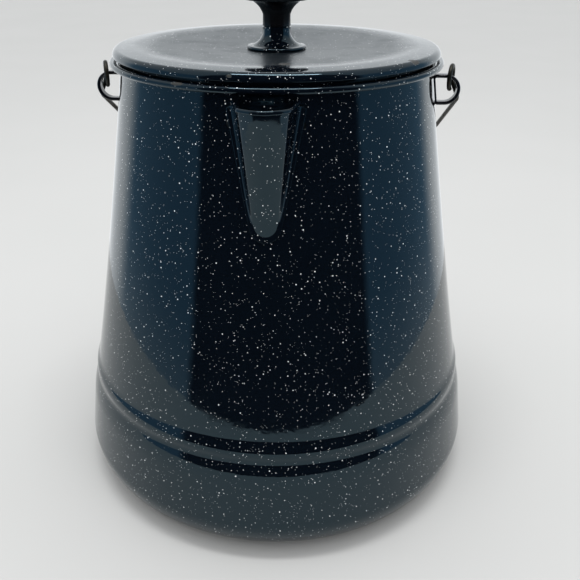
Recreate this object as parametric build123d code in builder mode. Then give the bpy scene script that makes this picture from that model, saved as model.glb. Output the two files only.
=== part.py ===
"""Enamelled steel camp coffee percolator, 36-cup size, with a wire bail.

Millimetres, +Z up. The origin is the middle of the flat underside, the spout
points along -Y and the tipping handle along +Y.
"""
import os
from math import cos, radians, sin, tan

from build123d import *

# Driving dimensions
rim_r = 96.0            # outside radius of the rolled rim
rim_top = 267.4         # height of the rolled rim above the underside
neck_r = 90.3           # outside radius of the wall just under the rim
neck_z = 262.0
waist_r = 106.0         # outside radius half way down, which makes the wall slightly hollow
waist_z = 169.7
seam_r = 122.9          # outside radius where the wall is welded to the base pan
seam_z = 81.0
sheet = 1.2             # enamelled sheet
roll_r = 1.7            # radius of the rolled rim's section
wall_lean = 11.3        # degrees that the wall leans out at the seam
bead_arcs = ((22.0, 25.0), (12.0, -6.0), (10.4, 21.0), (58.0, 8.0))  # radius, and lean at its end
corner_r = 23.0         # radius of the base pan's rounded edge

lid_base = 269.0        # height that the parts of the lid and knob are measured from
lid_r = 93.9
lid_gap = 0.4           # lid's edge above lid_base
lid_dish = 1.8          # height of the lid's flat centre
lid_crest = 5.15        # height of the ridge where the lid stops rising
lid_crest_r = 81.0
lid_edge_top = 4.5      # height that the lid falls to at its edge
lid_sheet = 1.0
skirt_r = 87.6
skirt_rest_r = 90.2     # the skirt widens to this above the pot's mouth, and rests there
skirt_depth = 12.0

knob_neck_r = 8.1
knob_disc_r = 19.5
ferrule_r = 17.1
ferrule_top = 14.1      # heights of the knob's parts above lid_base
knob_top = 36.0
screw_r = 2.0

spout_sheet = 1.1
beak_sizes = (          # height, half width at the root, half width of the face, reach from the axis
    (195.0, 6.4, 5.4, 102.6),
    (228.0, 11.0, 8.0, 107.6),
    (261.6, 15.8, 10.7, 114.6),
)

ear_out = 108.3         # outside of the ears from the pot's axis
ear_z = 248.55          # middle height of the ears
ear_half = 8.75         # half height of an ear
ear_strap = 2.0
ear_width = 6.5

wire_r = 1.3
hook_r = 6.5            # centreline radius of the bail's hooks
hook_x = 102.4
hook_turn = 12.5        # degrees that each hook's plane is turned about Z
hook_end = 262.0        # degrees round the hook from behind the ear to its free end
hinge_z = 255.4         # bail axis, inside the ears' upper limbs
knee = (109.0, 6.6, 242.4)  # where a leg bends from its hook into the bow
bow_reach = 129.5       # knees to the middle of the bow
bail_slope = 31.0       # degrees below level, resting against the back of the pot
bow_half = 72.0
grip_len = 88.0
grip_r = 10.5
grip_clear = 0.3

handle_top = 146.0      # heights of the tipping handle's limbs
handle_low = 92.0
handle_reach = 150.0
handle_strap = 2.0
handle_width = 24.0

tube_r = 6.0
tube_wall = 0.8
tube_top = 259.0
foot_r = 50.0
foot_low = sheet + 0.4
stop_z = 160.0          # underside of the collar that carries the basket
stop_h = 4.0
basket_r = 60.0
basket_low = 164.4
basket_h = 68.0
insert_sheet = 0.8
hole_r = 1.3

os.makedirs("parts", exist_ok=True)


def save(builder, name):
    """Label a finished piece and write its STEP file."""
    builder.part.label = name
    export_step(builder.part, f"parts/{name}.step")


def wall_radius(z):
    """Outside radius of the tapered wall at a height, near enough to place pieces on it."""
    span = (neck_z - z) / (neck_z - seam_z)
    hollow = 4 * span * (1 - span) * ((neck_r + seam_r) / 2 - waist_r)
    return neck_r + span * (seam_r - neck_r) - hollow


def cone_outline(grow):
    """Closed outline, axis to wall, of the pot's outside grown by a clearance."""
    Polyline((0, seam_z), (seam_r + grow, seam_z))
    ThreePointArc((seam_r + grow, seam_z), (waist_r + grow, waist_z), (neck_r + grow, neck_z))
    Polyline((neck_r + grow, neck_z), (neck_r + grow, rim_top), (0, rim_top), (0, seam_z))


# Solid blanks of the pot's outside, used to trim what is welded to the wall
with BuildPart() as wall_blank:
    with BuildSketch(Plane.XZ):
        with BuildLine():
            cone_outline(0)
        make_face()
    revolve(axis=Axis.Z)

flange_sheet = 0.8
with BuildPart() as flange_blank:
    with BuildSketch(Plane.XZ):
        with BuildLine():
            cone_outline(flange_sheet)
        make_face()
    revolve(axis=Axis.Z)
    add(wall_blank.part, mode=Mode.SUBTRACT)

pad_sheet = 1.5
with BuildPart() as pad_blank:
    with BuildSketch(Plane.XZ):
        with BuildLine():
            cone_outline(pad_sheet)
        make_face()
    revolve(axis=Axis.Z)
    add(wall_blank.part, mode=Mode.SUBTRACT)

# Wall: a tapered shell with a rolled rim, and a strainer punched through behind the spout
roll_in = rim_r - roll_r
under_roll = rim_top - 2 * roll_r
neck_web = 1.0
mouth_r = neck_r - sheet
mouth_round = roll_in - mouth_r
strainer_rows = 6
strainer_pitch = 7.0
strainer_hole_r = 1.9
strainer_top = 249.0
with BuildPart() as body_wall:
    with BuildSketch(Plane.XZ):
        with BuildLine():
            ThreePointArc((seam_r, seam_z), (waist_r, waist_z), (neck_r, neck_z))
            Line((neck_r, neck_z), (neck_r, under_roll - neck_web))
            Line((neck_r, under_roll - neck_web), (neck_r + neck_web, under_roll))
            Line((neck_r + neck_web, under_roll), (roll_in, under_roll))
            ThreePointArc((roll_in, under_roll), (rim_r, rim_top - roll_r), (roll_in, rim_top))
            JernArc((roll_in, rim_top), (-1, 0), mouth_round, 90)
            Line((mouth_r, rim_top - mouth_round), (mouth_r, neck_z))
            ThreePointArc((mouth_r, neck_z), (waist_r - sheet, waist_z), (seam_r - sheet, seam_z))
            Line((seam_r - sheet, seam_z), (seam_r, seam_z))
        make_face()
    revolve(axis=Axis.Z)
    for row in range(strainer_rows):
        holes = strainer_rows - row
        with BuildSketch(Plane.XZ.offset(neck_r - 10)):
            with Locations((0, strainer_top - row * strainer_pitch * 0.87)):
                with GridLocations(strainer_pitch, 1, holes, 1):
                    Circle(strainer_hole_r)
        extrude(amount=30, mode=Mode.SUBTRACT)
save(body_wall, "body_wall")

# Base pan: the bead, the widest part and the flat bottom


def bead_line(start):
    """The bead from the seam down, as arcs that run on from each other. Returns the last one."""
    way = (sin(radians(wall_lean)), -cos(radians(wall_lean)))
    lean = wall_lean
    for radius, new_lean in bead_arcs:
        bend = JernArc(start, way, radius, new_lean - lean)
        start, way, lean = bend @ 1, bend % 1, new_lean
    return bend


side_lean = radians(bead_arcs[-1][1])
with BuildPart() as base_pan:
    with BuildSketch(Plane.XZ):
        with BuildLine():
            outer = bead_line((seam_r, seam_z))
            side_len = ((outer @ 1).Y - corner_r * (1 + sin(side_lean))) / cos(side_lean)
            side = Line(outer @ 1, outer @ 1 + outer % 1 * side_len)
            corner_x = (side @ 1).X - corner_r * cos(side_lean)
            CenterArc((corner_x, corner_r), corner_r, bead_arcs[-1][1], -90 - bead_arcs[-1][1])
            Polyline((corner_x, 0), (0, 0), (0, sheet), (corner_x, sheet))
            inner_r = corner_r - sheet
            CenterArc((corner_x, corner_r), inner_r, -90, 90 + bead_arcs[-1][1])
            inner = bead_line((seam_r - sheet, seam_z))
            Line(inner @ 1, (corner_x + inner_r * cos(side_lean), corner_r + inner_r * sin(side_lean)))
            Line((seam_r - sheet, seam_z), (seam_r, seam_z))
        make_face()
    revolve(axis=Axis.Z)
save(base_pan, "base_pan")

# Spout: a pressed beak with a hemmed lip, open at the top, and a flange welded to the wall
nose = 4.8              # depth of the curved front face
spout_root = 80.0
over = 12.0


def beak_outline(half, face, reach):
    """Outline of the beak across its height, closed inside the wall at spout_root."""
    shoulder = reach - nose
    Polyline((-face, -shoulder), (-half, -spout_root), (half, -spout_root), (face, -shoulder))
    ThreePointArc((face, -shoulder), (0, -reach), (-face, -shoulder))


(foot_z, *foot_sizes), (middle_z, *middle_sizes), (lip_z, *lip_sizes) = beak_sizes
rise = (over + lip_z - middle_z) / (lip_z - middle_z)
mouth_sizes = [middle + (lip - middle) * rise - spout_sheet for middle, lip in zip(middle_sizes, lip_sizes)]
with BuildPart() as beak_core:
    with BuildSketch(Plane.XY.offset(foot_z + 4)):
        with BuildLine():
            beak_outline(*[size - spout_sheet for size in foot_sizes])
        make_face()
    with BuildSketch(Plane.XY.offset(middle_z)):
        with BuildLine():
            beak_outline(*[size - spout_sheet for size in middle_sizes])
        make_face()
    with BuildSketch(Plane.XY.offset(lip_z + over)):
        with BuildLine():
            beak_outline(*mouth_sizes)
        make_face()
    loft(ruled=True)

hem_out = 0.7
hem_h = 2.4
flange_top = 256.5
flange_half = 20.0
flange_foot = 7.6
flange_low = 192.0
with BuildPart() as spout:
    for height, *sizes in beak_sizes:
        with BuildSketch(Plane.XY.offset(height)):
            with BuildLine():
                beak_outline(*sizes)
            make_face()
    loft(ruled=True)
    with BuildSketch(Plane.XY.offset(lip_z - hem_h)):
        with BuildLine():
            beak_outline(*[size + hem_out for size in lip_sizes])
        make_face()
    extrude(amount=hem_h)
    with BuildSketch(Plane.XZ.offset(neck_r - 12)):
        with BuildLine():
            FilletPolyline(
                (-flange_foot, flange_low),
                (-flange_half, flange_top),
                (flange_half, flange_top),
                (flange_foot, flange_low),
                radius=5.5,
                close=True,
            )
        make_face()
    flange = extrude(amount=40, mode=Mode.PRIVATE)
    add(flange & flange_blank.part)
    add(wall_blank.part, mode=Mode.SUBTRACT)
    add(beak_core.part, mode=Mode.SUBTRACT)
save(spout, "spout")

# Ears: closed straps on each side, where the bail's hooks turn
ear_mid = ear_out - ear_half
hole_r_in_ear = ear_half - ear_strap
with BuildPart() as ear_right:
    with BuildSketch(Plane.XZ.offset(-ear_width / 2)):
        with Locations((ear_mid, ear_z)):
            Circle(ear_half)
        with BuildLine():
            Polyline(
                (neck_r - 5, ear_z - ear_half),
                (ear_mid, ear_z - ear_half),
                (ear_mid, ear_z + ear_half),
                (neck_r - 5, ear_z + ear_half),
                close=True,
            )
        make_face()
        with Locations((ear_mid, ear_z)):
            Circle(hole_r_in_ear, mode=Mode.SUBTRACT)
        with BuildLine():
            Polyline(
                (wall_radius(ear_z - hole_r_in_ear) + ear_strap, ear_z - hole_r_in_ear),
                (ear_mid, ear_z - hole_r_in_ear),
                (ear_mid, ear_z + hole_r_in_ear),
                (wall_radius(ear_z + hole_r_in_ear) + ear_strap, ear_z + hole_r_in_ear),
                close=True,
            )
        make_face(mode=Mode.SUBTRACT)
    extrude(amount=ear_width)
    add(wall_blank.part, mode=Mode.SUBTRACT)
save(ear_right, "ear_right")

with BuildPart() as ear_left:
    mirror(ear_right.part, about=Plane.YZ)
save(ear_left, "ear_left")

# Tipping handle: a strap loop low on the back, on two welded feet
foot_pad = (30.0, 17.0)
with BuildPart() as rear_handle:
    with BuildSketch(Plane.YZ.offset(-handle_width / 2)):
        with BuildLine():
            FilletPolyline(
                (wall_radius(handle_top) - 4, handle_top),
                (handle_reach, handle_top),
                (handle_reach - 5, handle_low),
                (wall_radius(handle_low) - 4, handle_low),
                radius=15,
            )
            offset(amount=handle_strap, side=Side.RIGHT)
        make_face()
    extrude(amount=handle_width)
    with BuildSketch(Plane.XZ.offset(-neck_r)):
        with Locations((0, handle_top - 1), (0, handle_low + 1)):
            RectangleRounded(*foot_pad, 5)
    feet = extrude(amount=-50, mode=Mode.PRIVATE)
    add(feet & pad_blank.part)
    add(wall_blank.part, mode=Mode.SUBTRACT)
save(rear_handle, "rear_handle")

# Bail: one wire with a hook bent at each end, a round bow and a straight middle for the grip.
# It is drawn at rest, leaning on the back of the pot. Each hook goes over its ear's upper limb
# and ends in the ear's opening, and the leg leaves it behind the ear.


def hook_point(side, angle):
    """A point on a hook's circle: 0 degrees is behind the ear and 90 is above it."""
    out = hook_r * cos(radians(angle))
    x = hook_x + out * sin(radians(hook_turn))
    return Vector(side * x, out * cos(radians(hook_turn)), hinge_z + hook_r * sin(radians(angle)))


def bow_point(x, reach):
    """A point of the bow, which leans back and down from the knees."""
    slope = radians(bail_slope)
    return Vector(x, knee[1] + reach * cos(slope), knee[2] - reach * sin(slope))


def bent_runs(points, radii):
    """Straight runs joined by round bends, drawn in the line that is open."""
    start = points[0]
    for before, corner, after, radius in zip(points, points[1:], points[2:], radii):
        back = (before - corner).normalized()
        ahead = (after - corner).normalized()
        half = radians(back.get_angle(ahead)) / 2
        first = corner + back * (radius / tan(half))
        last = corner + ahead * (radius / tan(half))
        middle = corner + (back + ahead).normalized() * (radius / sin(half) - radius)
        Line(start, first)
        ThreePointArc(first, middle, last)
        start = last
    Line(start, points[-1])


bend_drop = 3.0         # the leg runs straight down from its hook this far
leg = [hook_point(1, 0), hook_point(1, 0) - Vector(0, 0, bend_drop), Vector(*knee)]
leg += [bow_point(105.5, 85), bow_point(bow_half, bow_reach)]
leg_radii = [8, 6, 90, 45]
wire_points = leg + [Vector(-p.X, p.Y, p.Z) for p in reversed(leg)]
with BuildPart() as bail_wire:
    with BuildLine() as wire:
        hook = ThreePointArc(hook_point(1, hook_end), hook_point(1, hook_end / 2), hook_point(1, 0))
        bent_runs(wire_points, leg_radii + leg_radii[::-1])
        ThreePointArc(hook_point(-1, 0), hook_point(-1, hook_end / 2), hook_point(-1, hook_end))
    with BuildSketch(Plane(origin=hook @ 0, z_dir=hook % 0)):
        Circle(wire_r)
    sweep()
save(bail_wire, "bail_wire")

# Grip: a turned wooden barrel that spins on the straight of the bow
grip_plane = Plane(origin=bow_point(0, bow_reach), x_dir=(1, 0, 0), z_dir=(0, 0, 1))
grip_half = grip_len / 2
end_r = grip_r - 3.5
belly_r = grip_r - 2.6
nose_len = 5.0
nose_round = 6.0
grip_bore = wire_r + grip_clear
with BuildPart() as bail_grip:
    with BuildSketch(grip_plane):
        with BuildLine():
            Line((-grip_half, grip_bore), (-grip_half, end_r))
            RadiusArc((-grip_half, end_r), (-grip_half + nose_len, belly_r), nose_round)
            ThreePointArc((-grip_half + nose_len, belly_r), (0, grip_r), (grip_half - nose_len, belly_r))
            RadiusArc((grip_half - nose_len, belly_r), (grip_half, end_r), nose_round)
            Polyline((grip_half, end_r), (grip_half, grip_bore), (-grip_half, grip_bore))
        make_face()
    revolve(axis=Axis(grip_plane.origin, (1, 0, 0)))
save(bail_grip, "bail_grip")

# Lid: a shallow pressed cap with a slightly dished top
edge_z = lid_base + lid_gap
dish_z = lid_base + lid_dish
crest_z = lid_base + lid_crest
edge_top_z = lid_base + lid_edge_top
seat_r = 24.0
with BuildPart() as lid:
    with BuildSketch(Plane.XZ):
        with BuildLine():
            FilletPolyline(
                (screw_r + 0.2, dish_z),
                (seat_r, dish_z),
                (lid_crest_r, crest_z),
                (lid_r, edge_top_z),
                (lid_r, edge_z),
                radius=[120, 50, 3.5],
            )
            offset(amount=lid_sheet, side=Side.RIGHT)
        make_face()
    revolve(axis=Axis.Z)
save(lid, "lid")

# Skirt: a ring welded under the lid, which drops into the pot's mouth and rests on it
with BuildPart() as lid_skirt:
    with BuildSketch(Plane.XZ):
        with BuildLine():
            FilletPolyline(
                (skirt_r, rim_top - skirt_depth),
                (skirt_r, rim_top - 3.8),
                (skirt_rest_r, rim_top - 1.2),
                (skirt_rest_r, edge_top_z - lid_sheet / 2),
                radius=1.6,
            )
            offset(amount=lid_sheet, side=Side.LEFT)
        make_face()
    revolve(axis=Axis.Z)
    add(lid.part, mode=Mode.SUBTRACT)
save(lid_skirt, "lid_skirt")

# Knob: an enamelled flared ferrule, a black moulded knob and the screw that clamps both
junction_z = lid_base + ferrule_top
ferrule_wall = 1.2
ferrule_in = knob_neck_r - ferrule_wall
screw_hole_r = screw_r + 0.1
with BuildPart() as knob_ferrule:
    with BuildSketch(Plane.XZ):
        with BuildLine():
            Polyline((screw_hole_r, junction_z), (knob_neck_r, junction_z), (knob_neck_r, dish_z + 8.4))
            ThreePointArc(
                (knob_neck_r, dish_z + 8.4),
                (knob_neck_r + 1.9, dish_z + 4.8),
                (knob_neck_r + 5.6, dish_z + 3.3),
            )
            ThreePointArc(
                (knob_neck_r + 5.6, dish_z + 3.3),
                (ferrule_r, dish_z + 1.2),
                (ferrule_r - 0.8, dish_z),
            )
            Polyline(
                (ferrule_r - 0.8, dish_z),
                (ferrule_in + 3, dish_z),
                (ferrule_in, dish_z + 5),
                (ferrule_in, junction_z - ferrule_wall),
                (screw_hole_r, junction_z - ferrule_wall),
                (screw_hole_r, junction_z),
            )
        make_face()
    revolve(axis=Axis.Z)
save(knob_ferrule, "knob_ferrule")

insert_r = 3.4
insert_depth = 11.0
waist_top = lid_base + 20.6
disc_low = lid_base + 28.2
disc_edge = lid_base + 31.0
disc_low_r = knob_disc_r - 2.2
disc_top_r = knob_disc_r - 1.6
disc_top = disc_edge + 0.9
with BuildPart() as knob:
    with BuildSketch(Plane.XZ):
        with BuildLine():
            Line((0, junction_z), (knob_neck_r, junction_z))
            Line((knob_neck_r, junction_z), (knob_neck_r, waist_top))
            ThreePointArc(
                (knob_neck_r, waist_top),
                (knob_neck_r + 3.0, waist_top + 4.7),
                (disc_low_r, disc_low),
            )
            ThreePointArc((disc_low_r, disc_low), (knob_disc_r, disc_edge - 0.9), (disc_top_r, disc_top))
            TangentArc((0, lid_base + knob_top), (disc_top_r, disc_top), tangent=(1, 0))
            Line((0, lid_base + knob_top), (0, junction_z))
        make_face()
    revolve(axis=Axis.Z)
    with BuildSketch(Plane.XY.offset(junction_z)):
        Circle(insert_r)
    extrude(amount=insert_depth, mode=Mode.SUBTRACT)
save(knob, "knob")

with BuildPart() as knob_insert:
    with BuildSketch(Plane.XY.offset(junction_z)):
        Circle(insert_r)
        Circle(screw_r, mode=Mode.SUBTRACT)
    extrude(amount=insert_depth)
save(knob_insert, "knob_insert")

washer_r = 7.0
washer_h = 1.0
under_lid = dish_z - lid_sheet
with BuildPart() as knob_washer:
    with BuildSketch(Plane.XY.offset(under_lid - washer_h)):
        Circle(washer_r)
        Circle(screw_r + 0.2, mode=Mode.SUBTRACT)
    extrude(amount=washer_h)
save(knob_washer, "knob_washer")

head_r = 4.2
head_h = 2.6
slot = (1.1, 1.2)
head_z = under_lid - washer_h - head_h
with BuildPart() as knob_screw:
    with BuildSketch(Plane.XY.offset(head_z)):
        Circle(head_r)
    extrude(amount=head_h)
    fillet(knob_screw.faces().sort_by(Axis.Z)[0].edges(), 1.2)
    with BuildSketch(Plane.XY.offset(head_z)):
        Rectangle(2 * head_r, slot[0])
    extrude(amount=slot[1], mode=Mode.SUBTRACT)
    with BuildSketch(Plane.XY.offset(head_z + head_h)):
        Circle(screw_r)
    extrude(amount=junction_z + insert_depth - 1 - head_z - head_h)
save(knob_screw, "knob_screw")

# Pump: a tube on a flared foot, with a collar that carries the basket
foot_top = 26.0
foot_neck = 12.0
with BuildPart() as pump_tube:
    with BuildSketch(Plane.XY.offset(foot_top)):
        Circle(tube_r)
        Circle(tube_r - tube_wall, mode=Mode.SUBTRACT)
    extrude(amount=tube_top - foot_top)
save(pump_tube, "pump_tube")

notch = (9.0, 3.5)
notch_count = 6
with BuildPart() as pump_foot:
    with BuildSketch(Plane.XZ):
        with BuildLine():
            FilletPolyline(
                (foot_r, foot_low),
                (foot_r - 4, foot_low + 6),
                (tube_r + 0.6, foot_top - 3),
                (tube_r, foot_top + foot_neck),
                radius=[5, 8],
            )
            offset(amount=insert_sheet, side=Side.RIGHT)
        make_face()
    revolve(axis=Axis.Z)
    with BuildSketch(Plane.XY):
        with PolarLocations(foot_r - 2, notch_count):
            Rectangle(12, notch[0])
    extrude(amount=foot_low + notch[1], mode=Mode.SUBTRACT)
    with BuildSketch(Plane.XY.offset(foot_top)):
        Circle(tube_r)
    extrude(amount=foot_neck + 10, mode=Mode.SUBTRACT)
save(pump_foot, "pump_foot")

stop_r = 9.5
with BuildPart() as basket_stop:
    with BuildSketch(Plane.XY.offset(stop_z)):
        Circle(stop_r)
        Circle(tube_r, mode=Mode.SUBTRACT)
    extrude(amount=stop_h)
    fillet(basket_stop.edges().filter_by(GeomType.CIRCLE).group_by(SortBy.RADIUS)[-1], 1.2)
save(basket_stop, "basket_stop")

# Basket: a cup with a pierced floor round a central sleeve
sleeve_r = 7.4
sleeve_clear = 0.6
sleeve_h = 71.0
floor_rings = ((17.0, 10), (26.0, 16), (35.0, 22), (44.0, 28), (52.0, 32))
basket_top = basket_low + basket_h
with BuildPart() as basket:
    with BuildSketch(Plane.XZ):
        with BuildLine():
            FilletPolyline(
                (sleeve_r, basket_low),
                (basket_r, basket_low),
                (basket_r, basket_top),
                radius=4,
            )
            offset(amount=insert_sheet, side=Side.LEFT)
        make_face()
        with Locations((basket_r - insert_sheet / 2, basket_top)):
            Circle(0.9)
    revolve(axis=Axis.Z)
    with BuildSketch(Plane.XY.offset(basket_low - 1)):
        for ring_r, count in floor_rings:
            with PolarLocations(ring_r, count):
                Circle(hole_r)
    extrude(amount=4, mode=Mode.SUBTRACT)
save(basket, "basket")

with BuildPart() as basket_sleeve:
    with BuildSketch(Plane.XY.offset(basket_low)):
        Circle(sleeve_r)
        Circle(tube_r + sleeve_clear, mode=Mode.SUBTRACT)
    extrude(amount=sleeve_h)
save(basket_sleeve, "basket_sleeve")

# Spreader: the basket's pierced cover, which rests on the basket's rim
spread_z = basket_top + 1.3
spread_r = basket_r + 2.4
with BuildPart() as basket_lid:
    with BuildSketch(Plane.XZ):
        with BuildLine():
            FilletPolyline(
                (sleeve_r + 0.7 + insert_sheet, spread_z + 4.6),
                (sleeve_r + 0.7 + insert_sheet, spread_z - 2.4),
                (basket_r - 4, spread_z - 2.4),
                (basket_r - 4, spread_z + insert_sheet),
                (spread_r, spread_z + insert_sheet),
                (spread_r, spread_z - 5),
                radius=[1.6, 1.6, 1.0, 1.6],
            )
            offset(amount=insert_sheet, side=Side.RIGHT)
        make_face()
    revolve(axis=Axis.Z)
    with BuildSketch(Plane.XY.offset(spread_z - 6)):
        for ring_r, count in floor_rings[:-1]:
            with PolarLocations(ring_r, count):
                Circle(hole_r)
    extrude(amount=5, mode=Mode.SUBTRACT)
save(basket_lid, "basket_lid")
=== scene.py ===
"""Looks of the enamelled camp coffee percolator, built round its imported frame.

Every length in the outlines below is in millimetres and becomes metres when a mesh is made.
The pot stands on its base at the origin, +Z up, with the spout towards -Y.
"""

from math import acos, atan2, cos, degrees, hypot, pi, radians, sin, sqrt

import bmesh
import bpy
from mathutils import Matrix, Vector


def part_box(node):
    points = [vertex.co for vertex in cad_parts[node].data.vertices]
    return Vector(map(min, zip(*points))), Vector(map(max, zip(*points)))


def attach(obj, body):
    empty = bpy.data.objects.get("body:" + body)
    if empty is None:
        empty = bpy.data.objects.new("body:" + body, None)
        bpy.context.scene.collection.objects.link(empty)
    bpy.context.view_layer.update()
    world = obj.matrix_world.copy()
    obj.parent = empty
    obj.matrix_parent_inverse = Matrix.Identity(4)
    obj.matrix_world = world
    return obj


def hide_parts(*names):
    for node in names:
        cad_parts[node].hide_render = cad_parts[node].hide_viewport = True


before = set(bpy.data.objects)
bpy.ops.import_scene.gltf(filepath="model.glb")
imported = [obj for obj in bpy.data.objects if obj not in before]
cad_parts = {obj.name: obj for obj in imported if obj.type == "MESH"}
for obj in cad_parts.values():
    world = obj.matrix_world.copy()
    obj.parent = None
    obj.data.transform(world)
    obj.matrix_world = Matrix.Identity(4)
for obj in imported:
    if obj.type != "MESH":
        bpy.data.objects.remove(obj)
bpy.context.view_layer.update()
mm = 0.001


def high(node):
    """A node's highest corner in millimetres."""
    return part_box(node)[1] / mm


def low(node):
    """A node's lowest corner in millimetres."""
    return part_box(node)[0] / mm


# Driving dimensions, the frame's own where a node's box gives them
rim_r = 96.0
rim_top = high("body_wall").z
lid_base = low("lid").z - 0.4
seam_r = high("body_wall").x
seam_z = low("body_wall").z
neck_r = 90.3
neck_z = 262.0
waist_r = 106.0
waist_z = 169.7
sheet = 1.2
roll_r = 1.7
corner_r = 23.0
base_r = high("base_pan").x

lid_r = high("lid").x
lid_edge = low("lid").z
lid_crest = lid_base + 5.15
lid_crest_r = 81.0
lid_edge_top = lid_base + 4.5
lid_dish = lid_base + 1.8
lid_sheet = 1.0
seat_r = 24.0

knob_top = high("knob").z
knob_disc_r = high("knob").x
knob_low = low("knob").z
knob_neck_r = 8.1
ferrule_r = high("knob_ferrule").x

spout_top = high("spout").z
spout_foot_z = 195.0
spout_foot_reach = 101.9
spout_reach = 114.45
ear_out = high("ear_right").x
ear_z = (high("ear_right").z + low("ear_right").z) / 2
ear_half = (high("ear_right").z - low("ear_right").z) / 2
ear_strap = 2.0
ear_width = 6.5

wire_r = 1.3
hook_r = 6.5
hook_x = 102.4
hook_turn = radians(18.0)
hook_end = radians(262.0)
hinge_z = 255.4
knee = Vector((109.0, 6.6, 242.4))
bow_reach = 129.5
bail_slope = radians(31.0)
bow_half = 72.0
bend_drop = 3.0
shoulder = (105.5, 85)
leg_radii = [8, 6, 90, 45]
grip_len = 88.0
grip_r = 10.5


# Plane geometry for the outlines


def arc(centre, radius, start, end, steps=12):
    """Points along an arc between two angles in degrees."""
    turns = [radians(start + (end - start) * k / steps) for k in range(steps + 1)]
    return [(centre[0] + radius * cos(t), centre[1] + radius * sin(t)) for t in turns]


def through(a, b, c, steps):
    """Points from a to c along the circle through a, b and c."""
    (ax, ay), (bx, by), (cx, cy) = a, b, c
    d = 2 * (ax * (by - cy) + bx * (cy - ay) + cx * (ay - by))
    sa, sb, sc = ax**2 + ay**2, bx**2 + by**2, cx**2 + cy**2
    mid_x = (sa * (by - cy) + sb * (cy - ay) + sc * (ay - by)) / d
    mid_y = (sa * (cx - bx) + sb * (ax - cx) + sc * (bx - ax)) / d
    mid = (mid_x, mid_y)
    start, middle, end = (atan2(p[1] - mid[1], p[0] - mid[0]) for p in (a, b, c))
    while abs(middle - start) > pi:
        middle += 2 * pi if middle < start else -2 * pi
    while abs(end - middle) > pi:
        end += 2 * pi if end < middle else -2 * pi
    return arc(mid, hypot(ax - mid[0], ay - mid[1]), degrees(start), degrees(end), steps)


def rounded(points, radii, steps=8):
    """An open run of straight lines with each inner corner rounded to its radius."""
    path = [Vector(points[0])]
    for before, corner, after, radius in zip(points, points[1:], points[2:], radii):
        corner = Vector(corner)
        back = (Vector(before) - corner).normalized()
        ahead = (Vector(after) - corner).normalized()
        half = back.angle(ahead) / 2
        middle = corner + (back + ahead).normalized() * radius / sin(half)
        first = corner + back * radius / sin(half) * cos(half) - middle
        last = corner + ahead * radius / sin(half) * cos(half) - middle
        sweep = pi - 2 * half
        for k in range(steps + 1):
            share = k / steps
            blend = first * sin(sweep * (1 - share)) + last * sin(sweep * share)
            path.append(middle + blend / sin(sweep))
    path.append(Vector(points[-1]))
    return [tuple(p) for p in path]


def tangent_arcs(start, lean, arcs, steps=10):
    """A path going down and out at a lean in degrees, on through (radius, new lean) arcs."""
    path = [start]
    for radius, new_lean in arcs:
        side = 1 if new_lean > lean else -1
        (x, z), a = path[-1], radians(lean)
        centre = (x + side * radius * cos(a), z + side * radius * sin(a))
        turned_from = 180 + lean if side > 0 else lean
        turned_to = 180 + new_lean if side > 0 else new_lean
        path += arc(centre, radius, turned_from, turned_to, steps)[1:]
        lean = new_lean
    return path


def parallel(path, distance):
    """The path moved to its left by a distance."""
    moved = []
    for k, (x, z) in enumerate(path):
        before, after = path[max(k - 1, 0)], path[min(k + 1, len(path) - 1)]
        dx, dz = after[0] - before[0], after[1] - before[1]
        length = hypot(dx, dz)
        moved.append((x - dz / length * distance, z + dx / length * distance))
    return moved


def sheet_outline(path, thickness):
    """Closed outline of a sheet that lies to the right of its path, with its far end rounded."""
    other = parallel(path, -thickness)
    (ax, az), (bx, bz) = path[-1], other[-1]
    lean = degrees(atan2(az - bz, ax - bx))
    end = arc(((ax + bx) / 2, (az + bz) / 2), thickness / 2, lean, lean - 180, 6)
    return path[:-1] + end + other[-2::-1]


# Meshes


def turned(outline, steps=128):
    """Points and faces of a closed outline of (radius, height) points turned about Z."""
    points, rings = [], []
    for radius, height in outline:
        count = steps if radius > 1e-6 else 1
        rings.append([len(points) + k for k in range(count)])
        for k in range(count):
            a = 2 * pi * k / steps
            points.append((radius * cos(a), radius * sin(a), height))
    faces = []
    for one, two in zip(rings, rings[1:] + rings[:1]):
        for k in range(steps if len(one) + len(two) > 2 else 0):
            corners = [one[k % len(one)], one[(k + 1) % len(one)], two[(k + 1) % len(two)], two[k % len(two)]]
            faces.append(list(dict.fromkeys(corners)))
    return points, faces


def lofted(rings, closed=False):
    """Points and faces of a skin over equal rings of 3-D points, closed or with flat ends."""
    count = len(rings[0])
    points = [p for ring in rings for p in ring]
    faces = []
    for i in range(len(rings) if closed else len(rings) - 1):
        j = (i + 1) % len(rings)
        for k in range(count):
            m = (k + 1) % count
            faces.append((i * count + k, i * count + m, j * count + m, j * count + k))
    if not closed:
        faces.append(tuple(range(count)))
        faces.append(tuple((len(rings) - 1) * count + k for k in range(count)))
    return points, faces


def tube(path, radius, sides=16):
    """Points and faces of a round wire along a 3-D path, with rounded ends."""
    path = [Vector(p) for p in path]
    along = [(b - a).normalized() for a, b in zip(path, path[1:])]
    along = [along[0]] + [(a + b).normalized() for a, b in zip(along, along[1:])] + [along[-1]]
    side = along[0].orthogonal().normalized()
    rings = []
    for k, (point, ahead) in enumerate(zip(path, along)):
        side = (side - ahead * side.dot(ahead)).normalized()
        up = ahead.cross(side)
        ends = {0: (0.45, 0.8, 1.0), len(path) - 1: (1.0, 0.8, 0.45)}.get(k, (1.0,))
        for size in ends:
            out = -1 if k == 0 else 1
            pushed = point + ahead * out * radius * 0.6 * (1 - size)
            turns = [2 * pi * n / sides for n in range(sides)]
            rings.append([pushed + (side * cos(t) + up * sin(t)) * radius * size for t in turns])
    return lofted(rings)


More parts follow.
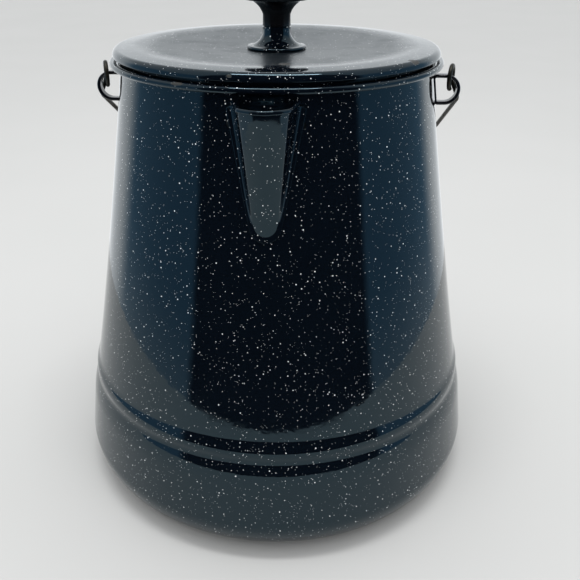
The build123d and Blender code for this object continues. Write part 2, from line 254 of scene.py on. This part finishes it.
def piece(name, shape, body, material, replaces=(), sharp=38.0, modifiers=()):
    """Make a piece of the object from points in millimetres and put it on its body."""
    points, faces = shape
    mesh = bpy.data.meshes.new(name)
    mesh.from_pydata([Vector(p) * mm for p in points], [], faces)
    obj = bpy.data.objects.new(name, mesh)
    bpy.context.scene.collection.objects.link(obj)
    shape_up(obj, modifiers)
    tidy(obj.data, sharp)
    obj.data.materials.clear()
    obj.data.materials.append(material)
    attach(obj, body)
    if replaces:
        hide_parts(*replaces)
    return obj


def shape_up(obj, modifiers):
    """Apply (kind, settings) modifiers to an object in order."""
    for kind, settings in modifiers:
        modifier = obj.modifiers.new(kind.lower(), kind)
        for key, value in settings.items():
            setattr(modifier, key, value)
    if modifiers:
        bpy.context.view_layer.update()
        graph = bpy.context.evaluated_depsgraph_get()
        made = bpy.data.meshes.new_from_object(obj.evaluated_get(graph))
        obj.modifiers.clear()
        obj.data = made


def tidy(mesh, sharp):
    """Weld, face outwards and shade smooth, with edges over an angle left sharp."""
    bm = bmesh.new()
    bm.from_mesh(mesh)
    bmesh.ops.remove_doubles(bm, verts=bm.verts, dist=1e-7)
    bmesh.ops.dissolve_degenerate(bm, edges=bm.edges, dist=1e-7)
    bmesh.ops.recalc_face_normals(bm, faces=bm.faces)
    for face in bm.faces:
        face.smooth = True
    for edge in bm.edges:
        edge.smooth = len(edge.link_faces) != 2 or edge.calc_face_angle() < radians(sharp)
    bm.to_mesh(mesh)
    bm.free()


# Materials


def node(tree, kind, inputs=(), **settings):
    """Add a shader node, with its inputs set to values or linked to sockets."""
    made = tree.nodes.new(kind)
    for key, value in settings.items():
        setattr(made, key, value)
    for key, value in dict(inputs).items():
        if isinstance(value, bpy.types.NodeSocket):
            tree.links.new(value, made.inputs[key])
        else:
            made.inputs[key].default_value = value
    return made


def new_material(name, **sockets):
    """A material with one Principled shader, and constants on its sockets."""
    material = bpy.data.materials.new(name)
    material.use_nodes = True
    tree = material.node_tree
    shader = tree.nodes["Principled BSDF"]
    for key, value in sockets.items():
        shader.inputs[key.replace("_", " ").title().replace("Ior", "IOR")].default_value = value
    place = node(tree, "ShaderNodeTexCoord").outputs["Object"]
    return material, tree, shader, place


def math(tree, operation, *values, clamp=False):
    """Output of a Math node."""
    return node(tree, "ShaderNodeMath", enumerate(values), operation=operation, use_clamp=clamp).outputs[0]


def ramp(tree, value, start, end, low_to=0.0, high_to=1.0):
    """A value mapped smoothly from a range to 0..1."""
    made = {"Value": value, "From Min": start, "From Max": end, "To Min": low_to, "To Max": high_to}
    return node(tree, "ShaderNodeMapRange", made, interpolation_type="SMOOTHSTEP").outputs[0]


def noise(tree, place, size, detail=3.0, roughness=0.5):
    """Noise whose grain is about a size in millimetres."""
    inputs = {"Vector": place, "Scale": 1 / (size * mm), "Detail": detail, "Roughness": roughness}
    return node(tree, "ShaderNodeTexNoise", inputs).outputs["Fac"]


def mix(tree, share, one, two):
    """Two colours mixed by a share."""
    inputs = {"Factor": share, 6: one, 7: two}
    return node(tree, "ShaderNodeMix", inputs, data_type="RGBA").outputs[2]


def bumped(tree, shader, height, distance, strength=1.0):
    """Bump the shader's surface by a height of a distance in millimetres."""
    inputs = {"Height": height, "Distance": distance * mm, "Strength": strength}
    tree.links.new(node(tree, "ShaderNodeBump", inputs).outputs[0], shader.inputs["Normal"])


def specks(tree, place, cell, radius):
    """Round specks of many sizes up to a radius, scattered in cells, both in millimetres."""
    cells = node(tree, "ShaderNodeTexVoronoi", {"Vector": place, "Scale": 1 / (cell * mm)})
    chance = node(tree, "ShaderNodeSeparateColor", {0: cells.outputs["Color"]}).outputs[0]
    size = math(tree, "MULTIPLY_ADD", chance, 0.7 * radius / cell, 0.3 * radius / cell)
    near = math(tree, "DIVIDE", cells.outputs["Distance"], size)
    return ramp(tree, near, 1.0, 0.7)


def spot(tree, place, centre, size, wobble):
    """A ragged worn spot round a place in millimetres, with its half sizes along X, Y and Z."""
    shift = node(tree, "ShaderNodeVectorMath", {0: place, 1: Vector(centre) * mm}, operation="SUBTRACT")
    scaled = node(
        tree,
        "ShaderNodeVectorMath",
        {0: shift.outputs[0], 1: [1 / (s * mm) for s in size]},
        operation="MULTIPLY",
    )
    length = node(tree, "ShaderNodeVectorMath", {0: scaled.outputs[0]}, operation="LENGTH").outputs["Value"]
    ragged = math(tree, "ADD", length, math(tree, "MULTIPLY", wobble, 1.6))
    return ramp(tree, ragged, 1.75, 1.6)


navy = (0.0014, 0.0028, 0.0055, 1)
speck_white = (0.94, 0.96, 0.97, 1)
chipped_steel = (0.035, 0.025, 0.018, 1)


def enamel(name, spots=(), hazy_inside=None):
    """Gloss navy enamel with fired-in white specks, a little orange peel and worn spots.

    hazy_inside is a radius in millimetres inside which it has lost its shine.
    """
    material, tree, shader, place = new_material(name, ior=1.55, specular_tint=(0.56, 0.86, 1.0, 1))
    white = specks(tree, place, 3.2, 0.43)
    for cell, radius in ((2.3, 0.28), (1.5, 0.18)):
        white = math(tree, "MAXIMUM", white, specks(tree, place, cell, radius))
    cloud = noise(tree, place, 30.0)
    ground = mix(tree, cloud, navy, (0.0022, 0.0042, 0.0078, 1))
    colour = mix(tree, white, ground, speck_white)
    smear = ramp(tree, noise(tree, place, 14.0, 4.0), 0.45, 0.75)
    rough = math(tree, "MULTIPLY_ADD", smear, 0.05, 0.04)
    if hazy_inside is not None:
        flat = node(tree, "ShaderNodeVectorMath", {0: place, 1: (1, 1, 0)}, operation="MULTIPLY").outputs[0]
        across = node(tree, "ShaderNodeVectorMath", {0: flat}, operation="LENGTH").outputs["Value"]
        haze = ramp(tree, across, hazy_inside * mm, (hazy_inside - 26) * mm)
        rough = math(tree, "MULTIPLY_ADD", haze, 0.28, rough)
    worn = None
    for centre, size in spots:
        mark = spot(tree, place, centre, size, noise(tree, place, 2.0, 4.0, 0.7))
        worn = mark if worn is None else math(tree, "MAXIMUM", worn, mark)
    height = noise(tree, place, 9.0, 2.0)
    if worn is not None:
        colour = mix(tree, worn, colour, chipped_steel)
        rough = math(tree, "MULTIPLY_ADD", worn, 0.4, rough)
        height = math(tree, "MULTIPLY_ADD", worn, -2.0, height)
    tree.links.new(colour, shader.inputs["Base Color"])
    tree.links.new(rough, shader.inputs["Roughness"])
    bumped(tree, shader, height, 0.05)
    return material


def gloss_black(name, shade, roughness):
    """Plain gloss black, moulded or enamelled, with a faint haze of handling."""
    material, tree, shader, place = new_material(name, ior=1.52)
    haze = ramp(tree, noise(tree, place, 6.0, 5.0), 0.4, 0.8)
    fine = noise(tree, place, 0.6, 3.0)
    tree.links.new(mix(tree, haze, shade, [c * 1.8 for c in shade[:3]] + [1]), shader.inputs["Base Color"])
    tree.links.new(math(tree, "MULTIPLY_ADD", haze, 0.12, roughness), shader.inputs["Roughness"])
    bumped(tree, shader, math(tree, "MULTIPLY_ADD", fine, 0.1, noise(tree, place, 5.0)), 0.04)
    return material


def wire_steel(name):
    """Dull dark steel wire, drawn and a little oxidised."""
    material, tree, shader, place = new_material(name, metallic=0.85, ior=1.6)
    patch = ramp(tree, noise(tree, place, 5.0, 5.0, 0.65), 0.35, 0.7)
    colour = mix(tree, patch, (0.032, 0.033, 0.028, 1), (0.07, 0.06, 0.043, 1))
    tree.links.new(colour, shader.inputs["Base Color"])
    tree.links.new(ramp(tree, patch, 0.0, 1.0, 0.42, 0.62), shader.inputs["Roughness"])
    bumped(tree, shader, noise(tree, place, 0.5, 4.0), 0.03)
    return material


def turned_wood(name):
    """Turned wood under worn black lacquer, with its grain along X."""
    material, tree, shader, place = new_material(name, coat_weight=0.5, coat_roughness=0.12)
    along = node(tree, "ShaderNodeMapping", {"Vector": place, "Scale": (0.07, 1.0, 1.0)}).outputs[0]
    bands = noise(tree, along, 3.2, 5.0, 0.6)
    pores = noise(tree, along, 0.35, 4.0, 0.7)
    tone = mix(tree, ramp(tree, bands, 0.3, 0.7), (0.014, 0.012, 0.011, 1), (0.03, 0.025, 0.021, 1))
    pore = ramp(tree, pores, 0.62, 0.72)
    tree.links.new(mix(tree, pore, tone, (0.006, 0.005, 0.004, 1)), shader.inputs["Base Color"])
    tree.links.new(ramp(tree, bands, 0.2, 0.8, 0.34, 0.48), shader.inputs["Roughness"])
    bumped(tree, shader, math(tree, "SUBTRACT", bands, pore), 0.06)
    return material


def spun_metal(name, colour, roughness, dull):
    """Spun metal with fine rings about the Z axis and a little dull staining."""
    material, tree, shader, place = new_material(name, metallic=1.0)
    parts = node(tree, "ShaderNodeSeparateXYZ", {0: place}).outputs
    depth = math(tree, "POWER", parts[1], 2.0)
    across = math(tree, "SQRT", math(tree, "MULTIPLY_ADD", parts[0], parts[0], depth))
    rings = node(tree, "ShaderNodeCombineXYZ", {0: across, 1: parts[2]}).outputs[0]
    line = noise(tree, rings, 0.35, 4.0, 0.7)
    stain = ramp(tree, noise(tree, place, 9.0, 5.0, 0.6), 0.4, 0.75)
    tree.links.new(mix(tree, stain, colour, dull), shader.inputs["Base Color"])
    gloss = math(tree, "MULTIPLY_ADD", line, 0.14, roughness)
    tree.links.new(math(tree, "MULTIPLY_ADD", stain, 0.12, gloss), shader.inputs["Roughness"])
    bumped(tree, shader, line, 0.03)
    return material


def floor_paint(name):
    """Plain pale matt table top."""
    material, tree, shader, place = new_material(name, roughness=0.75, ior=1.3)
    patch = noise(tree, place, 250.0, 2.0)
    colour = mix(tree, patch, (0.49, 0.496, 0.49, 1), (0.52, 0.523, 0.52, 1))
    tree.links.new(colour, shader.inputs["Base Color"])
    bumped(tree, shader, noise(tree, place, 1.5), 0.01)
    return material


# Pot, base and rolled rim in one fired skin

wall_lean = 11.3
bead_arcs = ((22.0, 25.0), (12.0, -6.0), (10.4, 21.0), (58.0, 8.0))


def wall_radius(z):
    """Outside radius of the tapered wall at a height."""
    wall = through((neck_r, neck_z), (waist_r, waist_z), (seam_r, seam_z), 60)
    for (ra, za), (rb, zb) in zip(wall, wall[1:]):
        if za >= z >= zb:
            return ra + (rb - ra) * (za - z) / (za - zb)
    return neck_r


def pot_outline():
    """Closed outline of the wall and base pan, from the rim down the outside and back inside."""
    under_roll = rim_top - 2 * roll_r
    roll_mid = rim_r - roll_r
    mouth_r = neck_r - sheet
    web = 0.9
    outside = arc((neck_r + web, under_roll - web), web, 90, 180, 6)
    outside += through((neck_r, neck_z), (waist_r, waist_z), (seam_r, seam_z), 64)
    outside += tangent_arcs(outside[-1], wall_lean, bead_arcs)[1:]
    lean = bead_arcs[-1][1]
    corner_mid = (base_r - corner_r, corner_r)
    outside += arc(corner_mid, corner_r, lean, -90, 24)
    outside.append((0.0, 0.0))
    inside = parallel(outside[7:-1], -sheet)
    roll = arc((roll_mid, rim_top - roll_r), roll_r, 90, -90, 20)
    mouth = arc((roll_mid, rim_top - roll_mid + mouth_r), roll_mid - mouth_r, 180, 90, 10)
    return roll + outside + [(0.0, sheet)] + inside[::-1] + mouth[:-1]


strainer_top = 249.0
strainer_pitch = 7.0
strainer_rows = 6
strainer_hole_r = 1.9


def strainer_pins():
    """Round pins that punch the strainer through the wall behind the spout."""
    points, faces = [], []
    for row in range(strainer_rows):
        count = strainer_rows - row
        for k in range(count):
            x = (k - (count - 1) / 2) * strainer_pitch
            z = strainer_top - row * strainer_pitch * 0.87
            rings = []
            for y in (-neck_r + 12, -neck_r - 22):
                turns = [2 * pi * n / 20 for n in range(20)]
                rings.append([(x + strainer_hole_r * cos(t), y, z + strainer_hole_r * sin(t)) for t in turns])
            pin_points, pin_faces = lofted(rings)
            faces += [[i + len(points) for i in face] for face in pin_faces]
            points += pin_points
    return points, faces


def punched(obj, pins):
    """Cut the pins out of an object's mesh."""
    mesh = bpy.data.meshes.new("pins")
    mesh.from_pydata([Vector(p) * mm for p in pins[0]], [], pins[1])
    cutter = bpy.data.objects.new("pins", mesh)
    bpy.context.scene.collection.objects.link(cutter)
    tidy(mesh, 30.0)
    shape_up(obj, [("BOOLEAN", {"object": cutter, "operation": "DIFFERENCE", "solver": "EXACT"})])
    bpy.data.objects.remove(cutter)
    bpy.data.meshes.remove(mesh)
    tidy(obj.data, 38.0)


# Spout: a pressed beak with a curled lip and a flange that lies on the wall


# Face, crease with the wall, and flange: half width at the top and radius of the round lower end
face_half, face_end_r = 10.7, 5.7
crease_half, crease_end_r = 15.6, 6.9
flange_half, flange_end_r = 19.4, 8.3
face_end_z = 201.0
face_shares = (0.0, 0.08, 0.35, 0.7, 0.92)
flange_drop = 4.5
curl_height = 2.6


def tapered_u(half, top, mid_z, end_r, steps, end_steps):
    """Right half of a U that narrows downwards to a round end, as (x, z) from its top."""
    drop = top - mid_z
    taper = acos(end_r / hypot(half, drop)) - atan2(drop, half)
    touch = (end_r * cos(taper), mid_z - end_r * sin(taper))
    side = [(half + (touch[0] - half) * k / steps, top + (touch[1] - top) * k / steps) for k in range(steps)]
    return side + arc((0, mid_z), end_r, -degrees(taper), -90, end_steps)


def beak_front(x, z):
    """How far the beak's front face stands from the pot's axis."""
    crown = 0.04
    up = (z - spout_foot_z) / (spout_top - spout_foot_z)
    return spout_foot_reach + (spout_reach - spout_foot_reach) * (0.56 * up + 0.44 * up * up) - crown * x * x


def on_wall(x, z, height):
    """A point at a height over the wall's front, in millimetres."""
    return Vector((x, -sqrt((wall_radius(z) + height) ** 2 - x * x), z))


def spout_cage():
    """Control cage of the spout's outer skin, mirrored about its middle."""
    steps, end_steps = 12, 6
    lip = spout_top - curl_height
    edge = tapered_u(face_half, lip, face_end_z, face_end_r, steps, end_steps)
    root = tapered_u(crease_half, lip, face_end_z - 0.2, crease_end_r, steps, end_steps)
    rim = tapered_u(flange_half, spout_top - flange_drop, face_end_z - 0.4, flange_end_r, steps, end_steps)
    skin = 0.85
    rows = []
    for (ex, ez), (rx, rz), (fx, fz) in zip(edge, root, rim):
        spine = max(ez, face_end_z)
        row = []
        for share in face_shares:
            x, z = ex * share, spine + (ez - spine) * share
            row.append(Vector((x, -beak_front(x, z), z)))
        crest = Vector((ex, -beak_front(ex, ez), ez))
        foot = on_wall(rx, rz, skin)
        row.append(crest)
        near_end = min(0.25, 1.0 / max((foot - crest).length, 1e-6))
        row += [crest.lerp(foot, share) for share in (near_end, 0.5, 1 - near_end)]
        for share in (0.25, 0.8, 1.0):
            row.append(on_wall(rx + (fx - rx) * share, rz + (fz - rz) * share, skin))
        rows.append(row)
    return rows


def spout_skin():
    """Points and faces of the whole skin with its curled lip, ready to thicken and smooth."""
    rows = spout_cage()
    beak_columns = len(face_shares) + 4
    curl = ((0.1, 0.9), (0.2, 1.8), (0.9, curl_height), (1.8, 2.2), (2.1, 1.2), (1.8, 0.3))
    lips = []
    for out, up in curl[::-1]:
        lip_row = []
        for k in range(beak_columns):
            here = rows[0][k]
            before, after = rows[0][max(k - 1, 0)], rows[0][min(k + 1, beak_columns - 1)]
            level = Vector((after.x - before.x, after.y - before.y, 0)).normalized()
            outward = Vector((level.y, -level.x, 0))
            if k == 0:
                outward = Vector((0, -1, 0))
            lip_row.append(here + outward * out + Vector((0, 0, up)))
        lips.append(lip_row)
    points, faces = [], []
    for side in (1, -1):
        grid = []
        for row in lips + rows:
            grid.append(list(range(len(points), len(points) + len(row))))
            points += [Vector((p.x * side, p.y, p.z)) for p in row]
        for one, two in zip(grid, grid[1:]):
            for k in range(min(len(one), len(two)) - 1):
                corners = (one[k], one[k + 1], two[k + 1], two[k])
                faces.append(corners if side > 0 else corners[::-1])
    return points, faces


# Ears, bail, grip and tipping handle


def strap_ring(middle, across, up, width, thickness, belly=0.0):
    """Section of a strap with rounded edges. belly lifts its middle over its edges."""
    ring = []
    half, round_r = width / 2, thickness / 2
    flat = [half - round_r - (width - thickness) * k / 6 for k in range(7)]
    right = [
        (half - round_r + round_r * cos(t), round_r * sin(t))
        for t in (radians(a) for a in (-60, -30, 0, 30, 60))
    ]
    top = [(a, round_r) for a in flat]
    left = [(-a, -b) for a, b in right]
    bottom = [(-a, -b) for a, b in top]
    for a, b in right + top + left + bottom:
        lift = belly * (1 - (a / half) ** 2)
        ring.append(middle + across * a + up * (b + lift))
    return ring


def ear_shape(side):
    """A closed strap: a round outer end and a straight back welded to the wall."""
    mid_r = ear_half - ear_strap / 2
    end = (ear_out - ear_half, ear_z)
    half_thick = ear_strap / 2
    back_top = (wall_radius(ear_z + mid_r) + half_thick - 0.3, ear_z + mid_r)
    back_low = (wall_radius(ear_z - mid_r) + half_thick - 0.3, ear_z - mid_r)
    corner = 1.6
    path = arc(end, mid_r, -90, 90, 24)
    path += rounded([path[-1], back_top, back_low, path[0]], (corner, corner), 5)[1:-1]
    rings = []
    count = len(path)
    for k, (x, z) in enumerate(path):
        before, after = path[k - 1], path[(k + 1) % count]
        ahead = Vector((after[0] - before[0], 0, after[1] - before[1])).normalized()
        outward = Vector((ahead.z, 0, -ahead.x))
        ring = strap_ring(Vector((x, 0, z)), Vector((0, 1, 0)), outward, ear_width, ear_strap)
        rings.append([Vector((p.x * side, p.y, p.z)) for p in ring])
    return lofted(rings, closed=True)


def bow_point(x, reach):
    """A point of the bow, which leans back and down from the knees."""
    return Vector((x, knee.y + reach * cos(bail_slope), knee.z - reach * sin(bail_slope)))


def bail_path():
    """The wire's route: a hook, the leg and the bow, and then the same mirrored."""
    hook = []
    for k in range(61):
        turn = hook_end * (1 - k / 60)
        out = hook_r * cos(turn)
        x = hook_x + out * sin(hook_turn)
        hook.append(Vector((x, out * cos(hook_turn), hinge_z + hook_r * sin(turn))))
    bend = hook[-1] - Vector((0, 0, bend_drop))
    leg = [hook[-1], bend, knee, bow_point(*shoulder), bow_point(bow_half, bow_reach)]
    corners = leg + [Vector((-p.x, p.y, p.z)) for p in reversed(leg)]
    bow = rounded(corners, leg_radii + leg_radii[::-1], 14)
    return hook + bow[1:-1] + [Vector((-p.x, p.y, p.z)) for p in reversed(hook)]


def grip_shape():
    """A turned wooden barrel with two cut rings near each end, along X on the bow's middle."""
    half, bore = grip_len / 2, wire_r + 0.35
    belly = through((-half + 5, grip_r - 2.6), (0, grip_r), (half - 5, grip_r - 2.6), 60)
    cuts = (half - 9.0, half - 12.0)
    belly = [(x, r - 0.55 * max(0.0, 1 - min(abs(abs(x) - c) for c in cuts) / 0.75)) for x, r in finer(belly)]
    nose = through((half - 5, grip_r - 2.6), (half - 1.2, grip_r - 4.2), (half, grip_r - 6.4), 8)
    outline = [(-x, r) for x, r in nose[::-1]] + belly + nose[1:]
    outline += [(half - 0.6, bore + 0.5), (half - 1.4, bore), (-half + 1.4, bore), (-half + 0.6, bore + 0.5)]
    points, faces = turned([(r, x) for x, r in outline], 64)
    centre = bow_point(0, bow_reach)
    return [Vector((p[2], p[0], p[1])) + centre for p in points], faces


def finer(path, steps=5):
    """The path with each run divided."""
    fine = [path[0]]
    for (ax, ay), (bx, by) in zip(path, path[1:]):
        fine += [(ax + (bx - ax) * k / steps, ay + (by - ay) * k / steps) for k in range(1, steps + 1)]
    return fine


handle_reach = high("rear_handle").y
handle_low = 92.0
handle_top = 146.0
handle_strap = 2.0
handle_width = 24.0


def handle_shape():
    """A strap loop whose two ends lie on the wall as welded feet."""
    half_thick = handle_strap / 2
    out = handle_reach - half_thick
    tuck = 0.25
    foot_len = 9.0
    top_end = (wall_radius(handle_top + foot_len) + half_thick - tuck, handle_top + foot_len)
    top_bend = (wall_radius(handle_top) + half_thick - tuck, handle_top - half_thick)
    low_bend = (wall_radius(handle_low) + half_thick - tuck, handle_low + half_thick)
    low_end = (wall_radius(handle_low - foot_len) + half_thick - tuck, handle_low - foot_len)
    outer = [(out, handle_top - half_thick), (out - 5, handle_low + half_thick)]
    corners = [top_end, top_bend] + outer + [low_bend, low_end]
    path = finer(rounded(corners, (4.5, 14, 14, 4.5), 10), 2)
    rings = []
    last = len(path) - 1
    for k, (y, z) in enumerate(path):
        before, after = path[max(k - 1, 0)], path[min(k + 1, last)]
        ahead = Vector((0, after[0] - before[0], after[1] - before[1])).normalized()
        outward = Vector((0, -ahead.z, ahead.y))
        gap = max(0.0, y - wall_radius(min(z, neck_z)) - half_thick)
        flare = max(0.0, 1 - gap / 6.0)
        width = handle_width + 6.0 * flare * flare
        ends = min(k, last - k)
        width *= (0.72, 0.9, 0.97)[ends] if ends < 3 else 1.0
        belly = width**2 / (8 * y) * flare
        ring = strap_ring(Vector((0, y - belly, z)), Vector((1, 0, 0)), outward, width, handle_strap, belly)
        rings.append(ring)
    return lofted(rings)


# Lid and knob


def lid_outline():
    """The lid's sheet: a flat seat, a shallow dish and a rolled shoulder."""
    corners = [(2.2, lid_dish), (seat_r, lid_dish), (lid_crest_r, lid_crest), (lid_r, lid_edge_top)]
    path = rounded(corners + [(lid_r, lid_edge + 0.5)], (120, 50, 3.5), 14)
    return sheet_outline(path, lid_sheet)


def ferrule_outline():
    """A flared neck with a rounded foot that sits on the lid."""
    foot = lid_dish
    top = knob_low
    outside = [(2.1, top), (knob_neck_r - 0.5, top), (knob_neck_r, top - 0.5)]
    brow = (ferrule_r - 0.7, foot + 1.9)
    outside += through((knob_neck_r, foot + 8.4), (knob_neck_r + 2.5, foot + 4.3), brow, 20)
    outside += through(brow, (ferrule_r - 0.02, foot + 1.0), (ferrule_r - 0.6, foot), 10)[1:]
    inside_r = knob_neck_r - sheet
    inside = [(knob_neck_r + 1.6, foot), (inside_r, foot + 5), (inside_r, top - sheet), (2.1, top - sheet)]
    return outside + inside


def knob_outline():
    """The moulded knob: a neck that flares to a domed disc, with a ring round its top."""
    waist = lid_base + 20.6
    disc_low = lid_base + 28.2
    disc_edge = lid_base + 31.0
    ring_r = knob_disc_r - 5.0
    bore, depth = 3.4, 11.0
    path = [(0.0, knob_low + depth), (bore, knob_low + depth), (bore, knob_low)]
    path += [(knob_neck_r - 0.4, knob_low), (knob_neck_r, knob_low + 0.4), (knob_neck_r, waist)]
    flare_mid, flare_end = (knob_neck_r + 3.0, waist + 4.7), (knob_disc_r - 2.2, disc_low)
    path += through((knob_neck_r, waist + 0.1), flare_mid, flare_end, 20)[1:]
    edge_mid, edge_end = (knob_disc_r, disc_edge - 0.9), (knob_disc_r - 1.6, disc_edge + 0.9)
    path += through((knob_disc_r - 2.1, disc_low), edge_mid, edge_end, 12)
    dome = through(edge_end, (knob_disc_r / 2, knob_top - 1.15), (0.0, knob_top), 24)
    dome = finer(dome[1:], 2)
    path += [(r, z - 0.35 * max(0.0, 1 - abs(r - ring_r) / 0.9)) for r, z in dome]
    return path


# Put the pieces together

blue_enamel = enamel(
    "speckled_enamel",
    spots=(
        ((104.6, -77.3, 12.0), (4.0, 4.0, 4.0)),
        ((11.8, -100.4, spout_top - 0.6), (1.9, 2.6, 1.5)),
        ((-43.9, -85.2, rim_top - 0.5), (4.5, 2.5, 0.9)),
    ),
)
lid_enamel = enamel(
    "speckled_lid_enamel",
    spots=(
        ((7.6, -66.9, lid_crest - 1.0), (3.4, 6.0, 1.6)),
        ((71.8, -55.5, lid_edge_top - 0.8), (3.6, 3.6, 1.6)),
        ((-17.0, -91.8, lid_edge_top - 1.4), (1.3, 1.3, 1.1)),
    ),
    hazy_inside=91.0,
)
ear_black = gloss_black("ear_enamel", (0.002, 0.0034, 0.006, 1), 0.1)
knob_black = gloss_black("knob_moulding", (0.004, 0.004, 0.005, 1), 0.07)
bail_steel = wire_steel("bail_wire_steel")
black_wood = turned_wood("lacquered_wood")
aluminium = spun_metal("spun_aluminium", (0.8, 0.81, 0.82, 1), 0.26, (0.55, 0.55, 0.54, 1))
zinc_steel = spun_metal("zinc_plated_steel", (0.62, 0.63, 0.64, 1), 0.24, (0.4, 0.39, 0.36, 1))
brass = spun_metal("turned_brass", (0.78, 0.56, 0.24, 1), 0.22, (0.5, 0.34, 0.14, 1))

pot = piece("pot_shell", turned(pot_outline(), 256), "pot", blue_enamel, ("body_wall", "base_pan"))
punched(pot, strainer_pins())

skin_thickness = {"thickness": 0.9 * mm, "offset": -1.0, "use_even_offset": True}
smoothing = {"levels": 3, "render_levels": 3}
piece(
    "spout_beak",
    spout_skin(),
    "pot",
    blue_enamel,
    ("spout",),
    60.0,
    [("WELD", {"merge_threshold": 0.01 * mm}), ("SOLIDIFY", skin_thickness), ("SUBSURF", smoothing)],
)
piece("ear_strap_right", ear_shape(1), "pot", ear_black, ("ear_right",))
piece("ear_strap_left", ear_shape(-1), "pot", ear_black, ("ear_left",))
piece("tipping_handle", handle_shape(), "pot", blue_enamel, ("rear_handle",))
piece("bail_loop", tube(bail_path(), wire_r), "bail", bail_steel, ("bail_wire",))
piece("grip_barrel", grip_shape(), "grip", black_wood, ("bail_grip",), 30.0)
piece("lid_cap", turned(lid_outline(), 256), "lid", lid_enamel, ("lid",))
piece("knob_flare", turned(ferrule_outline(), 96), "lid", blue_enamel, ("knob_ferrule",))
piece("knob_moulding", turned(knob_outline(), 96), "lid", knob_black, ("knob",))

kept_nodes = {
    "lid_skirt": blue_enamel,
    "knob_insert": brass,
    "knob_screw": zinc_steel,
    "knob_washer": zinc_steel,
    "pump_tube": aluminium,
    "pump_foot": aluminium,
    "basket_stop": aluminium,
    "basket": aluminium,
    "basket_sleeve": aluminium,
    "basket_lid": aluminium,
}
for name, material in kept_nodes.items():
    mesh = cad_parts[name].data
    mesh.materials.clear()
    mesh.materials.append(material)


# Stage: a pale table, a dark stretch in front, dim sides, a white wall behind and one lamp overhead.
# Only the near part of the table shows in reflections.

near_half = (0.44, 0.4)
floor_half = 7.0


def floor_piece(name, inner, outer, seen_in_gloss):
    """A level ring of the pale floor between two ovals, given by their half sizes."""
    steps = 128
    turns = [2 * pi * k / steps for k in range(steps)]
    corners = [(rx * cos(t), ry * sin(t), 0) for rx, ry in (inner, outer) for t in turns]
    faces = [(k, k + steps, (k + 1) % steps + steps, (k + 1) % steps) for k in range(steps)]
    mesh = bpy.data.meshes.new(name)
    mesh.from_pydata(corners, [], faces)
    mesh.materials.append(floor_material)
    obj = bpy.data.objects.new(name, mesh)
    bpy.context.scene.collection.objects.link(obj)
    obj.visible_glossy = seen_in_gloss


floor_material = floor_paint("table_top")
floor_piece("table_near", (0.001, 0.001), near_half, True)
floor_piece("table_far", near_half, (floor_half, floor_half), False)


def room():
    """World light by direction: a dark stretch in front, dim sides, a pale wall behind.

    Soft light on matt surfaces comes mostly from above, and the background has its own plain tone.
    """
    world = bpy.data.worlds.new("room")
    bpy.context.scene.world = world
    world.use_nodes = True
    tree = world.node_tree
    tree.nodes.clear()
    way = node(tree, "ShaderNodeTexCoord").outputs["Generated"]
    parts = node(tree, "ShaderNodeSeparateXYZ", {0: way}).outputs
    level = node(tree, "ShaderNodeCombineXYZ", {0: parts[0], 1: parts[1]}).outputs[0]
    level = node(tree, "ShaderNodeVectorMath", {0: level}, operation="NORMALIZE").outputs[0]
    front_turn = radians(5.7)
    front = (sin(front_turn), -cos(front_turn), 0)
    facing = node(tree, "ShaderNodeVectorMath", {0: level, 1: front}, operation="DOT_PRODUCT")
    facing = facing.outputs["Value"]
    dark = ramp(tree, facing, cos(radians(58)), cos(radians(52)))
    behind = ramp(tree, facing, cos(radians(112)), cos(radians(132)))
    upper = ramp(tree, parts[2], sin(radians(16)), sin(radians(34)))
    side_tone = (0.19, 0.35, 0.5, 1)
    wall_tone = (1.1, 1.14, 1.17, 1)
    lower = ramp(tree, parts[2], -0.18, -0.4)
    tone = mix(tree, lower, side_tone, (0.5, 0.6, 0.68, 1))
    tone = mix(tree, behind, tone, wall_tone)
    tone = mix(tree, upper, tone, (0.62, 0.64, 0.66, 1))
    tone = mix(tree, dark, tone, (0.012, 0.012, 0.014, 1))
    rays = node(tree, "ShaderNodeLightPath").outputs
    above = math(tree, "MULTIPLY_ADD", math(tree, "MAXIMUM", parts[2], 0.0), 1.36, 0.42)
    soft = node(tree, "ShaderNodeCombineXYZ", {0: above, 1: above, 2: above}).outputs[0]
    tone = mix(tree, rays["Is Diffuse Ray"], tone, soft)
    tone = mix(tree, rays["Is Camera Ray"], tone, (0.73, 0.745, 0.775, 1))
    light = node(tree, "ShaderNodeBackground", {"Color": tone, "Strength": 1.0}).outputs[0]
    node(tree, "ShaderNodeOutputWorld", {"Surface": light})


def lamp(name, place, aim, size, power):
    """A soft rectangular lamp."""
    data = bpy.data.lights.new(name, "AREA")
    data.shape = "RECTANGLE"
    data.size, data.size_y = size
    data.energy = power
    obj = bpy.data.objects.new(name, data)
    bpy.context.scene.collection.objects.link(obj)
    obj.location = place
    obj.rotation_mode = "QUATERNION"
    obj.rotation_quaternion = (Vector(aim) - Vector(place)).to_track_quat("-Z", "Y")


def camera():
    """The camera's place and lens, aimed down at the pot's axis."""
    data = bpy.data.cameras.new("camera")
    obj = bpy.data.objects.new("camera", data)
    bpy.context.scene.collection.objects.link(obj)
    bpy.context.scene.camera = obj
    away, height = 0.4162, 0.3331
    turn, dip = radians(3.2), radians(28.1)
    obj.location = (sin(turn) * away, -cos(turn) * away, height)
    obj.rotation_euler = (pi / 2 - dip, 0, turn)
    data.sensor_width = 36.0
    data.lens = 42.2
    data.shift_x = 0.023


room()
lamp("overhead", (0, -0.12, 1.35), (0, 0, 0.2), (0.7, 0.16), 6.0)
camera()
bpy.context.scene.view_settings.view_transform = "Standard"
